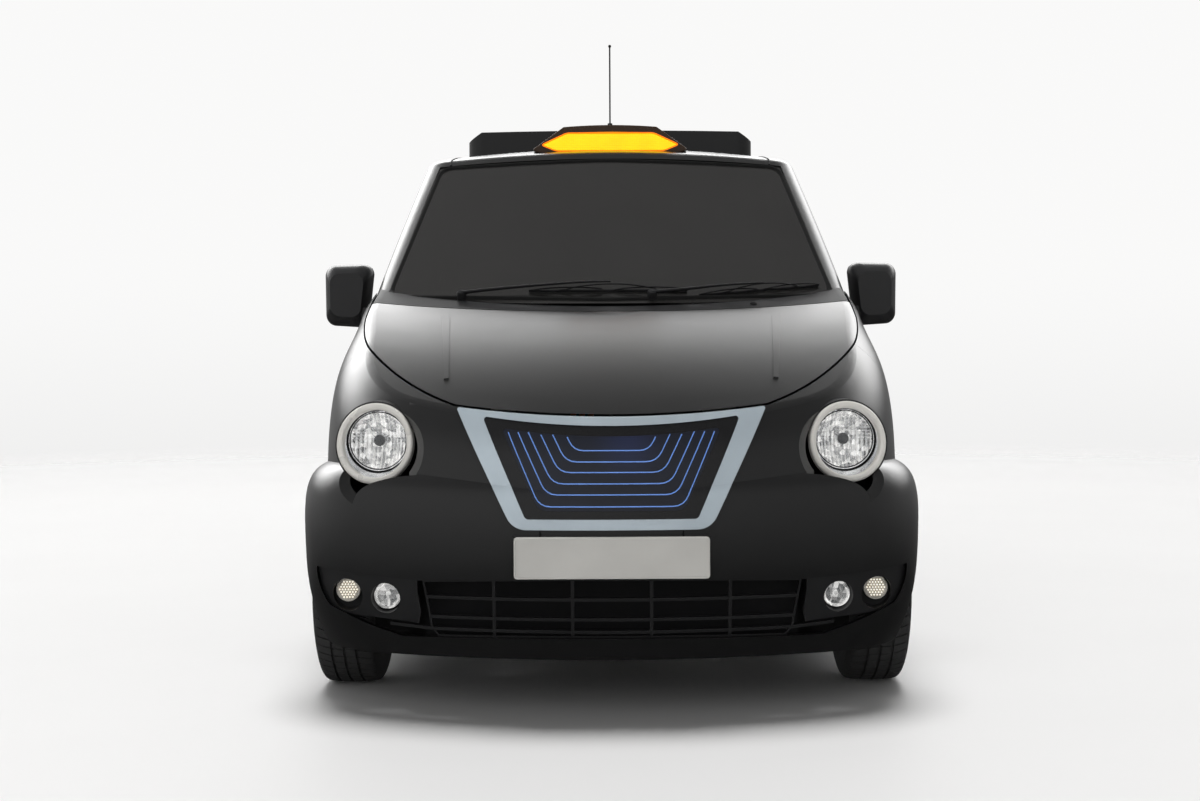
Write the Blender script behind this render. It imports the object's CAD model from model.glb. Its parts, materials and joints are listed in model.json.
"""Looks of the taxi cab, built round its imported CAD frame: finishes, lamps, trim, seats and studio.

Metres, +Z up. The nose faces -Y and the vehicle's left side is +X. Lengths along the body are
stated as distances behind the face of the front plate and go through at().
"""
import json
from math import cos, hypot, pi, radians, sin

import bmesh
import bpy
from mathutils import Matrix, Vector
from mathutils.bvhtree import BVHTree


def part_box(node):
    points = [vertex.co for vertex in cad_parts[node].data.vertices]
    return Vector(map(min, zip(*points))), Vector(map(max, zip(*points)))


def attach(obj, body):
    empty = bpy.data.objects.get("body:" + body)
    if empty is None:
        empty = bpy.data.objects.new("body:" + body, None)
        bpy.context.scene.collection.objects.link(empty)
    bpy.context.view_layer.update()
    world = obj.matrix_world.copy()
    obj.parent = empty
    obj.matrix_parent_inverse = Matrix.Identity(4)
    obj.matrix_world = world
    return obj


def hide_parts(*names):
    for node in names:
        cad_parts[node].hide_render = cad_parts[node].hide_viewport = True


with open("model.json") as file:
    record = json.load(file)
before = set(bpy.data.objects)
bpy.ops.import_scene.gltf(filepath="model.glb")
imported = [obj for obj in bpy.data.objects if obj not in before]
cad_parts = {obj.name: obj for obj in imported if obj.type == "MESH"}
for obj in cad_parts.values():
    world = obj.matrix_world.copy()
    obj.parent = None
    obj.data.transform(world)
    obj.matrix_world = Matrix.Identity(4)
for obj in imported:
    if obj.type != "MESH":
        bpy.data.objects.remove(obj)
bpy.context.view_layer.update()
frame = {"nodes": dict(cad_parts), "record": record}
NODES = frame["nodes"]
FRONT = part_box("front_plate")[0].y             # face of the front plate
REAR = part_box("body_side_left")[1].y
HALF_WIDTH = 0.850
FRONT_AXLE, REAR_AXLE = 0.745, 3.470
DOORS = ("front_door_left", "front_door_right")
MIRROR_X, MIRROR_HEIGHT, MIRROR_BACK = 0.907, 1.212, 1.3956     # centre of a door mirror's glass
STRUT_FOOT, STRUT_TOP = (0.688, 0.400), (0.620, 0.775)          # X and height of a front damper
SPRING_FOOT, SPRING_TOP = (0.6435, 0.646), (0.6105, 0.838)
BELT_X, BELT_DISTANCE, BELT_FOOT, BELT_TOP = -0.660, 2.110, 0.480, 1.240
GAUGE_X, GAUGE_HEIGHT = -0.370, 1.035                           # middle of the gauge hood
TRAY_HEIGHT, TRAY_THICK = 0.203, 0.003
CLOTH_STEPS = 20


def at(distance):
    """Y of a plane this far behind the face of the front plate."""
    return FRONT + distance


# ---------------------------------------------------------------- materials
# One row per record slot: base colour, metallic, roughness, coat weight, coat roughness.
FINISHES = {
    "body_paint": ((0.0075, 0.0075, 0.0078), 0.0, 0.34, 0.8, 0.22),
    "grille_trim": ((0.74, 0.85, 0.93), 0.55, 0.24, 0.4, 0.15),
    "black_trim": ((0.014, 0.014, 0.015), 0.0, 0.50, 0.0, 0.1),
    "gloss_black": ((0.008, 0.008, 0.009), 0.0, 0.22, 0.5, 0.08),
    "bezel": ((0.88, 0.86, 0.81), 0.15, 0.28, 0.4, 0.1),
    "reflector": ((0.90, 0.91, 0.93), 1.0, 0.07, 0.0, 0.1),
    "red_lens": ((0.30, 0.006, 0.006), 0.0, 0.12, 0.6, 0.04),
    "plate_white": ((0.60, 0.59, 0.56), 0.0, 0.40, 0.2, 0.2),
    "plate_yellow": ((0.80, 0.52, 0.03), 0.0, 0.38, 0.2, 0.2),
    "tyre": ((0.034, 0.034, 0.034), 0.0, 0.72, 0.0, 0.1),
    "alloy": ((0.58, 0.59, 0.61), 0.85, 0.30, 0.3, 0.1),
    "steel": ((0.10, 0.10, 0.105), 0.3, 0.5, 0.0, 0.1),
    "casting": ((0.075, 0.075, 0.08), 0.6, 0.55, 0.0, 0.1),
    "cabin_plastic": ((0.035, 0.035, 0.038), 0.0, 0.62, 0.0, 0.1),
    "hard_cover": ((0.05, 0.05, 0.053), 0.0, 0.6, 0.0, 0.1),
}


def node_maker(tree):
    """Function that adds a node to a tree and sets its sockets."""

    def node(kind, **sockets):
        made = tree.nodes.new(kind)
        for key, value in sockets.items():
            made.inputs[key.replace("_", " ")].default_value = value
        return made

    return node


def shader(name, **sockets):
    """New node material, its Principled shader, and functions that add and link nodes."""
    material = bpy.data.materials.new(name)
    material.use_nodes = True
    tree = material.node_tree
    out = tree.nodes["Principled BSDF"]
    for key, value in sockets.items():
        out.inputs[key.replace("_", " ")].default_value = value
    return material, out, node_maker(tree), tree.links.new


def object_noise(node, link, scale, detail=2.0):
    """Noise over the object's own coordinates."""
    place = node("ShaderNodeTexCoord")
    noise = node("ShaderNodeTexNoise", Scale=scale, Detail=detail)
    link(place.outputs["Object"], noise.inputs["Vector"])
    return noise.outputs["Fac"], place


def ranged(node, link, value, low, high):
    """A value from 0 to 1 mapped to a range."""
    made = node("ShaderNodeMapRange", To_Min=low, To_Max=high)
    link(value, made.inputs["Value"])
    return made.outputs["Result"]


def tinted(node, link, factor, out, first, second):
    """Base colour mixed from two colours by a factor."""
    tint = node("ShaderNodeMix")
    tint.data_type = "RGBA"
    tint.inputs["A"].default_value = (*first, 1)
    tint.inputs["B"].default_value = (*second, 1)
    link(factor, tint.inputs["Factor"])
    link(tint.outputs["Result"], out.inputs["Base Color"])


def mottled(node, link, factor, out, colour, low, high):
    """Base colour made darker and lighter by a factor."""
    tone = node("ShaderNodeVectorMath")
    tone.operation = "SCALE"
    tone.inputs[0].default_value = colour
    link(ranged(node, link, factor, low, high), tone.inputs["Scale"])
    link(tone.outputs["Vector"], out.inputs["Base Color"])


def texture(node, link, place, kind, output, **sockets):
    """Texture over the object's own coordinates."""
    made = node(kind, **sockets)
    link(place.outputs["Object"], made.inputs["Vector"])
    return made.outputs[output]


def fading(node, link, value, from_min, from_max, to_min, to_max):
    """A value mapped smoothly from one range to another."""
    fade = node("ShaderNodeMapRange", From_Min=from_min, From_Max=from_max, To_Min=to_min,
                To_Max=to_max)
    fade.interpolation_type = "SMOOTHSTEP"
    link(value, fade.inputs["Value"])
    return fade.outputs["Result"]


def bump(node, link, height, out, strength=0.2, distance=0.0004):
    """Fine relief of a surface."""
    relief = node("ShaderNodeBump", Strength=strength, Distance=distance)
    link(height, relief.inputs["Height"])
    link(relief.outputs["Normal"], out.inputs["Normal"])


def finish(name, colour, metallic=0.0, roughness=0.5, coat=0.0, coat_roughness=0.1, grain=900.0,
           mottle=0.12):
    """Surface finish: mottled colour and roughness, with a fine bump."""
    material, out, node, link = shader(name, Metallic=metallic, Coat_Weight=coat,
                                       Coat_Roughness=coat_roughness)
    broad, place = object_noise(node, link, 6.0, 4.0)
    mottled(node, link, broad, out, colour, 1 - mottle, 1 + mottle)
    link(ranged(node, link, broad, roughness * 0.9, roughness * 1.1), out.inputs["Roughness"])
    bump(node, link, texture(node, link, place, "ShaderNodeTexNoise", "Fac", Scale=grain,
                             Detail=2.0),
         out)
    return material


def glass(name, colour, alpha, roughness=0.02):
    """Pane that shows a share of what is behind it."""
    material, out, node, link = shader(name, Alpha=alpha)
    broad, _ = object_noise(node, link, 3.0)
    tinted(node, link, broad, out, colour, [c * 0.8 for c in colour])
    link(ranged(node, link, broad, roughness * 0.7, roughness * 1.3), out.inputs["Roughness"])
    return material


def lit(name, colour, strength, dots=0.0):
    """Surface that glows, a little uneven, and where dots is set with a moulded dot pattern."""
    material, out, node, link = shader(name, Base_Color=(*colour, 1), Roughness=0.3,
                                       Emission_Color=(*colour, 1))
    broad, place = object_noise(node, link, 14.0)
    glow = ranged(node, link, broad, strength * 0.8, strength * 1.2)
    if dots:
        cells = texture(node, link, place, "ShaderNodeTexVoronoi", "Distance", Scale=dots,
                        Randomness=0.15)
        share = node("ShaderNodeMapRange", From_Min=0.0, From_Max=0.7, To_Min=1.35, To_Max=0.45)
        link(cells, share.inputs["Value"])
        product = node("ShaderNodeMath")
        product.operation = "MULTIPLY"
        link(glow, product.inputs[0])
        link(share.outputs["Result"], product.inputs[1])
        glow = product.outputs["Value"]
        bump(node, link, cells, out, 0.6, 0.001)
    link(glow, out.inputs["Emission Strength"])
    return material


def sparkling(name, low, high, scale):
    """Bright metal of a lamp that is on, each facet throwing a different share of its light."""
    material, out, node, link = shader(name, Metallic=1.0, Roughness=0.12,
                                       Emission_Color=(1.0, 0.985, 0.96, 1))
    broad, place = object_noise(node, link, 8.0)
    tinted(node, link, broad, out, (0.86, 0.87, 0.88), (0.93, 0.93, 0.92))
    cells = node("ShaderNodeTexVoronoi", Scale=scale, Randomness=0.6)
    link(place.outputs["Object"], cells.inputs["Vector"])
    share = node("ShaderNodeSeparateColor")
    link(cells.outputs["Color"], share.inputs["Color"])
    facet = node("ShaderNodeMapRange", From_Min=0.25, From_Max=1.0, To_Min=low, To_Max=high)
    link(share.outputs["Red"], facet.inputs["Value"])
    link(facet.outputs["Result"], out.inputs["Emission Strength"])
    bump(node, link, cells.outputs["Distance"], out, 0.5, 0.001)
    return material


def cloth(name, colour, weave=900.0):
    """Woven seat cloth with sheen."""
    material, out, node, link = shader(name, Roughness=0.85, Sheen_Weight=0.35)
    broad, place = object_noise(node, link, 24.0, 3.0)
    mottled(node, link, broad, out, colour, 0.7, 1.35)
    threads = texture(node, link, place, "ShaderNodeTexWave", "Fac", Scale=weave, Distortion=1.0)
    bump(node, link, threads, out, 0.4, 0.0006)
    return material


GLOW_SPOT, GLOW_REACH = (0.045, 0.765), 0.115      # X, height and radius of the panel's glow


def glowing_panel():
    """Dark blue panel of the grille, with a soft patch of blue light behind its top."""
    material, out, node, link = shader("grille_glow", Roughness=0.28, Coat_Weight=0.4,
                                       Coat_Roughness=0.12, Emission_Color=(0.10, 0.16, 0.62, 1))
    broad, place = object_noise(node, link, 9.0, 3.0)
    tinted(node, link, broad, out, (0.008, 0.009, 0.013), (0.013, 0.016, 0.026))
    flat = node("ShaderNodeVectorMath")
    flat.operation = "MULTIPLY"
    flat.inputs[1].default_value = (1, 0, 1)
    link(place.outputs["Object"], flat.inputs[0])
    away = node("ShaderNodeVectorMath")
    away.operation = "DISTANCE"
    away.inputs[1].default_value = (GLOW_SPOT[0], 0, GLOW_SPOT[1])
    link(flat.outputs["Vector"], away.inputs[0])
    link(fading(node, link, away.outputs["Value"], 0.0, GLOW_REACH, 0.05, 0.004),
         out.inputs["Emission Strength"])
    return material


MATERIALS = {slot: finish(slot, *row) for slot, row in FINISHES.items()}
MATERIALS["clear_lens"] = glass("clear_lens", (0.9, 0.92, 0.94), 0.10)
MATERIALS["tinted_glass"] = glass("tinted_glass", (0.044, 0.043, 0.042), 0.90)
MATERIALS["sign_lens"] = lit("sign_lens", (1.0, 0.62, 0.003), 1.0, dots=150.0)
MATERIALS["seat_cloth"] = cloth("seat_cloth", (0.040, 0.041, 0.047))
RUBBER = finish("rubber", (0.012, 0.012, 0.012), roughness=0.7)
DARK_SEAM = finish("dark_seam", (0.004, 0.004, 0.004), roughness=0.9)
MIRROR_GLASS = finish("mirror_glass", (0.75, 0.77, 0.80), 1.0, 0.02, grain=40.0, mottle=0.02)
AMBER = finish("amber_lens", (0.55, 0.16, 0.005), 0.0, 0.12, 0.6, 0.04)
WHITE_LENS = finish("white_lens", (0.62, 0.62, 0.60), 0.0, 0.15, 0.6, 0.04)
LEDS = lit("led", (1.0, 0.93, 0.80), 0.8)
LIT_MIRROR = sparkling("lit_mirror", 0.0, 0.62, 70.0)
ORANGE_CABLE = finish("orange_cable", (0.62, 0.13, 0.01), roughness=0.45)
GLOW_LINES = [lit(f"glow_line_{i}", (0.16, 0.32, 0.80), power) for i, power in
              enumerate((0.16, 0.07, 0.03, 0.012))]


def dress(name, material):
    """Gives a CAD node one material."""
    data = NODES[name].data
    data.materials.clear()
    data.materials.append(material)


SLOT_OF = {row["node"]: row["material_slot"] for row in frame["record"]["subparts"]}
for name in NODES:
    dress(name, MATERIALS[SLOT_OF[name]])
dress("grille_panel", glowing_panel())

# ---------------------------------------------------------------- shape helpers


def axes_of(direction):
    """Two unit vectors square to a direction and to each other, and the direction itself."""
    along = Vector(direction).normalized()
    side = along.cross(Vector((0, 0, 1)))
    if side.length < 0.01:
        side = Vector((1, 0, 0))
    side.normalize()
    return side, side.cross(along).normalized(), along


def circle(centre, direction, radius, steps=32):
    """Points round a circle square to a direction."""
    side, up, _ = axes_of(direction)
    turns = (2 * pi * i / steps for i in range(steps))
    return [Vector(centre) + (side * cos(a) + up * sin(a)) * radius for a in turns]


def rounded(points, radius, steps=4, closed=True):
    """A polyline with its corners rounded."""
    points = [Vector(p) for p in points]
    count, made = len(points), []
    for i, corner in enumerate(points):
        if not closed and i in (0, count - 1):
            made.append(corner)
            continue
        before, after = points[i - 1] - corner, points[(i + 1) % count] - corner
        reach = min(radius, before.length * 0.49, after.length * 0.49)
        a, b = corner + before.normalized() * reach, corner + after.normalized() * reach
        for step in range(steps + 1):
            t = step / steps
            made.append(a * (1 - t) ** 2 + corner * 2 * t * (1 - t) + b * t ** 2)
    return made


def spaced(points, gap, closed=False):
    """More points along a polyline, no further apart than the gap."""
    points = [Vector(p) for p in points]
    made = []
    ends = points[1:] + points[:1] if closed else points[1:]
    for start, end in zip(points, ends):
        parts = max(1, int((end - start).length / gap + 0.99))
        made += [start.lerp(end, i / parts) for i in range(parts)]
    return made if closed else made + [points[-1]]


class Shape:
    """Vertices and faces of one piece, gathered from simple forms."""

    def __init__(self):
        self.verts, self.faces, self.marks = [], [], []

    def add(self, verts, faces, mark=0):
        base = len(self.verts)
        self.verts += [Vector(v) for v in verts]
        self.faces += [[base + i for i in face] for face in faces]
        self.marks += [mark] * len(faces)
        return self

    def skin(self, rows, closed=True, ends=True, mark=0):
        """Skin over rows of points, each row closed on itself, with the first and last capped."""
        count = len(rows[0])
        span = count if closed else count - 1
        faces = [[r * count + i, r * count + (i + 1) % count, (r + 1) * count + (i + 1) % count,
                  (r + 1) * count + i] for r in range(len(rows) - 1) for i in range(span)]
        if ends:
            last = (len(rows) - 1) * count
            faces += [list(range(count)), list(range(last, last + count))]
        return self.add([p for row in rows for p in row], faces, mark)

    def turned(self, centre, direction, profile, steps=40, ends=True, mark=0):
        """Profile of (radius, distance along the direction) turned about it."""
        along = Vector(direction).normalized()
        return self.skin([circle(Vector(centre) + along * t, along, r, steps) for r, t in profile],
                         ends=ends, mark=mark)

    def ring(self, centre, direction, profile, steps=40, mark=0):
        """Closed profile turned about the direction."""
        return self.turned(centre, direction, profile + profile[:1], steps, ends=False, mark=mark)

    def prism(self, outline, offset, mark=0):
        """Outline of points swept by an offset."""
        offset = Vector(offset)
        return self.skin([outline, [Vector(p) + offset for p in outline]], mark=mark)

    def box(self, low, high, mark=0):
        (x0, y0, z0), (x1, y1, z1) = low, high
        return self.prism([(x0, y0, z0), (x1, y0, z0), (x1, y1, z0), (x0, y1, z0)],
                          (0, 0, z1 - z0), mark)

    def tube(self, points, radius, steps=8, closed=False, flat=1.0, mark=0, up=(0, 0, 1)):
        """Round tube along a polyline; flat squeezes it across the up direction."""
        points = [Vector(p) for p in points]
        radii = radius if isinstance(radius, (list, tuple)) else [radius] * len(points)
        rows = []
        for i, point in enumerate(points):
            before = points[i - 1] if i or closed else point
            after = points[(i + 1) % len(points)] if i < len(points) - 1 or closed else point
            along = (after - before).normalized()
            side = along.cross(Vector(up))
            side = side.normalized() if side.length > 0.01 else axes_of(along)[0]
            rise = side.cross(along).normalized()
            rows.append([point + (side * cos(a) + rise * sin(a) * flat) * radii[i]
                         for a in (2 * pi * k / steps for k in range(steps))])
        if closed:
            rows.append(rows[0])
        return self.skin(rows, ends=not closed, mark=mark)

    def plate(self, centre, across, up, half_width, half_height, thick, radius=0.004, mark=0):
        """Flat plate with round corners: its centre is in the middle of its back face."""
        centre, across, up = Vector(centre), Vector(across).normalized(), Vector(up).normalized()
        corners = [(-half_width, -half_height), (half_width, -half_height),
                   (half_width, half_height),
                   (-half_width, half_height)]
        outline = rounded([(x, y, 0) for x, y in corners], radius)
        normal = across.cross(up)
        rows = []
        for shrink, lift in ((0, 0), (0, 0.8), (0.2, 1.0)):
            rows.append([centre + across * (p.x - (thick * shrink if p.x > 0 else -thick * shrink))
                         + up * (p.y - (thick * shrink if p.y > 0 else -thick * shrink))
                         + normal * thick * lift for p in outline])
        return self.skin(rows, mark=mark)

    def mirrored(self):
        made = Shape()
        made.verts = [Vector((-v.x, v.y, v.z)) for v in self.verts]
        made.faces, made.marks = [face[::-1] for face in self.faces], list(self.marks)
        return made

    def make(self, name, body, slot, *materials, replaces=(), angle=35, bevel=0.0):
        """The piece itself, riding on a body, with one material for each mark."""
        mesh = bpy.data.meshes.new(name)
        made = bmesh.new()
        verts = [made.verts.new(v) for v in self.verts]
        for face, mark in zip(self.faces, self.marks):
            corners = [verts[i] for i in dict.fromkeys(face)]
            if len(corners) > 2:
                try:
                    made.faces.new(corners).material_index = mark
                except ValueError:
                    pass
        bmesh.ops.remove_doubles(made, verts=made.verts, dist=0.00001)
        bmesh.ops.recalc_face_normals(made, faces=made.faces)
        made.to_mesh(mesh)
        made.free()
        for material in materials or (MATERIALS[slot],):
            mesh.materials.append(material)
        mesh.polygons.foreach_set("use_smooth", [True] * len(mesh.polygons))
        mesh.set_sharp_from_angle(angle=radians(angle))
        piece = bpy.data.objects.new(name, mesh)
        bpy.context.scene.collection.objects.link(piece)
        if bevel:
            edge = piece.modifiers.new("bevel", "BEVEL")
            edge.width, edge.segments, edge.limit_method = bevel, 2, "ANGLE"
        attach(piece, body)
        if replaces:
            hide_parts(*replaces)
        return piece


def pair(shape, name, bodies, slot, *materials, replaces=((), ()), **options):
    """A left piece and its mirror image on the right."""
    bodies = (bodies, bodies) if isinstance(bodies, str) else bodies
    sides = (("left", shape, bodies[0], replaces[0]), ("right", shape.mirrored(), bodies[1],
                                                       replaces[1]))
    return [form.make(f"{name}_{side}", body, slot, *materials, replaces=gone, **options)
            for side, form, body, gone in sides]


def skin_of(*names):
    """Search tree over the surfaces of CAD nodes."""
    verts, faces = [], []
    for name in names:
        base, data = len(verts), NODES[name].data
        verts += [v.co.copy() for v in data.vertices]
        faces += [[base + i for i in face.vertices] for face in data.polygons]
    return BVHTree.FromPolygons(verts, faces)


def onto(tree, start, direction, lift=0.0):
    """Where a ray meets a surface, lifted off it towards where the ray came from."""
    direction = Vector(direction)
    place, normal, _, _ = tree.ray_cast(Vector(start), direction)
    if place is None:
        return None
    if normal.dot(direction) > 0:
        normal.negate()
    return place + normal * lift


def draped(tree, points, direction, lift=0.0):
    """Points laid on a surface along a direction, without those that miss it."""
    far = Vector(direction) * -3
    found = [onto(tree, Vector(p) + far, direction, lift) for p in points]
    return [p for p in found if p is not None]


def from_front(tree, points, lift=0.0):
    """(X, height) points laid on a surface from ahead."""
    return draped(tree, [(x, FRONT, z) for x, z in points], (0, 1, 0), lift)


def from_side(tree, points, lift=0.0):
    """(distance, height) points laid on a surface from the vehicle's left."""
    return draped(tree, [(HALF_WIDTH, at(d), z) for d, z in points], (-1, 0, 0), lift)


def from_behind(tree, points, lift=0.0):
    """(X, height) points laid on a surface from behind."""
    return draped(tree, [(x, REAR, z) for x, z in points], (0, -1, 0), lift)


def flat(points):
    """2-D points as 3-D ones."""
    return [(x, y, 0) for x, y in points]


def route(points, gap=0.02, radius=0.0, closed=False):
    """Pairs of numbers along a 2-D polyline with round corners."""
    line = rounded(flat(points), radius, closed=closed) if radius else flat(points)
    return [(p[0], p[1]) for p in spaced(line, gap, closed)]


# ---------------------------------------------------------------- grille and front plate
GRILLE_LINES = (                # height of the run, its half width, half width of the top ends
    (0.7468, 0.1007, 0.125), (0.7172, 0.1217, 0.161), (0.6894, 0.1397, 0.193),
    (0.6595, 0.1576, 0.224), (0.6304, 0.1745, 0.252), (0.5994, 0.1925, 0.279))
LINE_TOP, LINE_TURN, LINE_WIDTH = 0.795, 0.030, 0.0032


def grille_lines():
    """Nested glowing U lines on the panel, brightest along the bottom runs."""
    tree = skin_of("grille_panel")
    form = Shape()
    for run, low, high in GRILLE_LINES:
        line = route([(-high, LINE_TOP), (-low, run), (low, run), (high, LINE_TOP)], 0.008,
                     LINE_TURN)
        points = from_front(tree, line, 0.0007)
        first = len(form.marks)
        form.tube(points, LINE_WIDTH / 2, 6, flat=0.4, up=(0, 1, 0))
        for i in range(first, len(form.marks)):
            rise = sum(form.verts[v].z for v in form.faces[i]) / len(form.faces[i]) - run
            form.marks[i] = 0 if rise < 0.004 else 1 if rise < 0.03 else 2 if rise < 0.07 else 3
    form.make("grille_lines", "root", "grille_trim", *GLOW_LINES)


def plate_piece(name, node, body, slot, out):
    """Blank number plate with round corners and a raised edge round its face."""
    low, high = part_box(node)
    back = high.y if out < 0 else low.y
    half, tall = (high.x - low.x) / 2, (high.z - low.z) / 2
    middle = ((low.x + high.x) / 2, back, (low.z + high.z) / 2)
    form = Shape().plate(middle, (-out, 0, 0), (0, 0, 1), half, tall, (high.y - low.y) * 0.8, 0.010)
    ring = [Vector((middle[0] + p.x, (low.y if out < 0 else high.y) - out * 0.0018,
                    middle[2] + p.y))
            for p in spaced(rounded(flat([(-half + 0.004, -tall + 0.004),
                                          (half - 0.004, -tall + 0.004),
                                          (half - 0.004, tall - 0.004),
                                          (-half + 0.004, tall - 0.004)]),
                                    0.008), 0.05, True)]
    form.tube(ring, 0.0018, 6, closed=True, up=(0, 1, 0))
    form.make(name, body, slot, replaces=(node,))


# ---------------------------------------------------------------- lamps
HEADLAMP, LAMP_RADIUS, BOWL_DEPTH = (0.659, 0.763), 0.0822, 0.070
LAMP_FACE, LAMP_BACK = 0.302, 0.310            # distances of the lens face and back


def dome(centre, radius, rise, thick, steps=48):
    """Clear lens, its face domed forwards."""
    arc = [(radius * cos(a), rise * sin(a)) for a in (pi / 2 * i / 8 for i in range(8))]
    return Shape().turned(centre, (0, -1, 0), [(radius, -thick)] + arc + [(0.0004, rise)], steps)


def faceted_bowl():
    """Mirror of a headlamp: vertical flutes below the bulb and tiles above it."""
    cell, step = 0.0108, 0.0018
    form = Shape()
    reach = int(LAMP_RADIUS / step) + 1
    place = {}

    def depth(x, z):
        across = (x / cell) % 1.0
        down = (z / (cell * 0.9)) % 1.0 if z > -0.012 else 0.5
        bulge = 4 * across * (1 - across) * (0.4 + 0.6 * 4 * down * (1 - down))
        return BOWL_DEPTH * (1 - (x * x + z * z) / LAMP_RADIUS ** 2) - 0.0022 * bulge

    rows = []
    for i in range(-reach, reach + 1):
        for k in range(-reach, reach + 1):
            x, z = i * step, k * step
            away = hypot(x, z)
            if away > LAMP_RADIUS + step * 0.7:
                continue
            if away > LAMP_RADIUS - 0.0006:
                x, z = x * (LAMP_RADIUS - 0.0006) / away, z * (LAMP_RADIUS - 0.0006) / away
            place[i, k] = len(rows)
            rows.append((HEADLAMP[0] + x, at(LAMP_BACK + 0.001) + max(0, depth(x, z)),
                         HEADLAMP[1] + z))
    faces = [[place[i, k], place[i + 1, k], place[i + 1, k + 1], place[i, k + 1]]
             for i, k in place if all(c in place for c in ((i + 1, k), (i + 1, k + 1), (i, k + 1)))]
    return form.add(rows, faces)


def headlamps():
    """Facets, clear dome, seal and bulb cap of both headlamps."""
    x, z = HEADLAMP
    pair(faceted_bowl(), "headlamp_facets", "root", "reflector", LIT_MIRROR, angle=22)
    pair(dome((x, at(LAMP_FACE), z), LAMP_RADIUS - 0.0015, 0.009, LAMP_BACK - LAMP_FACE - 0.001),
         "headlamp_dome", "root", "clear_lens", replaces=(("headlamp_lenses",), ("headlamp_lenses",
                                                                                 )))
    ring = [(LAMP_RADIUS + 0.0002, -0.004), (LAMP_RADIUS + 0.0002, 0.004),
            (LAMP_RADIUS - 0.0025, 0.004),
            (LAMP_RADIUS - 0.0025, -0.001)]
    pair(Shape().ring((x, at(LAMP_FACE), z), (0, -1, 0), ring, 56), "headlamp_seal", "root",
         "black_trim", RUBBER)
    cap = [(0.006, -0.045), (0.006, -0.012), (0.0145, -0.010), (0.0165, 0.004), (0.0160, 0.011),
           (0.012, 0.0145), (0.0005, 0.016)]
    bulb = Shape().turned((x, at(LAMP_BACK) + 0.020, z), (0, -1, 0), cap, 28)
    for turn in (0.5, 2.6, 4.7):
        bulb.tube([(x + 0.012 * cos(turn), at(LAMP_BACK) + 0.022, z + 0.012 * sin(turn)),
                   (x + 0.026 * cos(turn), at(LAMP_BACK) + 0.050, z + 0.026 * sin(turn))], 0.0011,
                   6)
    pair(bulb, "headlamp_bulb_cap", "root", "casting",
         finish("bulb_cap", (0.03, 0.03, 0.033), 0.6, 0.3))


POD_LAMPS = {"running": (0.739, 0.349, 0.250, 0.035), "fog": (0.621, 0.341, 0.190, 0.038)}


def pod_lamps():
    """Small round lamps of the bumper: a ring-lit disc outside, a clear fog lamp inside."""
    x, z, d, r = POD_LAMPS["running"]
    r -= 0.0008
    board = Shape().turned((x, at(d) + 0.018, z), (0, -1, 0),
                           [(r, 0), (r, 0.010), (r - 0.002, 0.0118),
                                                               (0.0004, 0.0125)], 40)
    pair(board, "running_lamp_board", "root", "bezel", finish("lamp_board", (0.66, 0.61, 0.52), 0.0,
                                                              0.35))
    dots, pitch = Shape(), 0.0082
    for i in range(-5, 6):
        for k in range(-5, 6):
            px, pz = pitch * (i + 0.5 * (k % 2)), pitch * 0.87 * k
            if hypot(px, pz) < r - 0.006:
                dots.turned((x + px, at(d) + 0.0056, z + pz), (0, -1, 0),
                            [(0.0026, -0.0006), (0.0025, 0.0004), (0.0018, 0.0013),
                             (0.0003, 0.0018)], 8)
    pair(dots, "running_lamp_dots", "root", "clear_lens", LEDS)
    fx, fz, fd, fr = POD_LAMPS["fog"]
    fr -= 0.0008
    bowl = [(fr, 0.006), (fr * 0.86, -0.004), (fr * 0.62, -0.0105), (fr * 0.36, -0.0130),
            (0.0085, -0.0135), (0.0080, -0.006), (0.0060, -0.003), (0.0004, -0.0018)]
    mirror = Shape().turned((fx, at(fd) + 0.0145, fz), (0, -1, 0),
                            [(fr, -0.0066), (fr + 0.0003, 0.006)] + bowl, 40)
    pair(mirror, "fog_lamp_mirror", "root", "reflector", LIT_MIRROR)
    covers = dome((x, at(d) + 0.0045, z), r, 0.0038, 0.0012, 40)
    other = dome((fx, at(fd) + 0.006, fz), fr, 0.0058, 0.0012, 40)
    covers.add(other.verts, other.faces)
    pair(covers, "bumper_lamp_cover", "root", "clear_lens",
         replaces=(("bumper_lamps",), ("bumper_lamps",)))


# ---------------------------------------------------------------- wheels
TYRE_RADIUS, RIM_SEAT, RIM_FACE = 0.311, 0.1905, 0.0685
TREAD_PITCHES, GROOVES = 64, (-0.036, 0.0, 0.036)
WHEELS = {"front_left": (0.790, FRONT_AXLE), "front_right": (-0.790, FRONT_AXLE),
          "rear_left": (0.740, REAR_AXLE), "rear_right": (-0.740, REAR_AXLE)}


def crown(x):
    """Radius of the tread this far from the tyre's middle."""
    return TYRE_RADIUS - 0.0035 * (abs(x) / 0.070) ** 3


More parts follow.
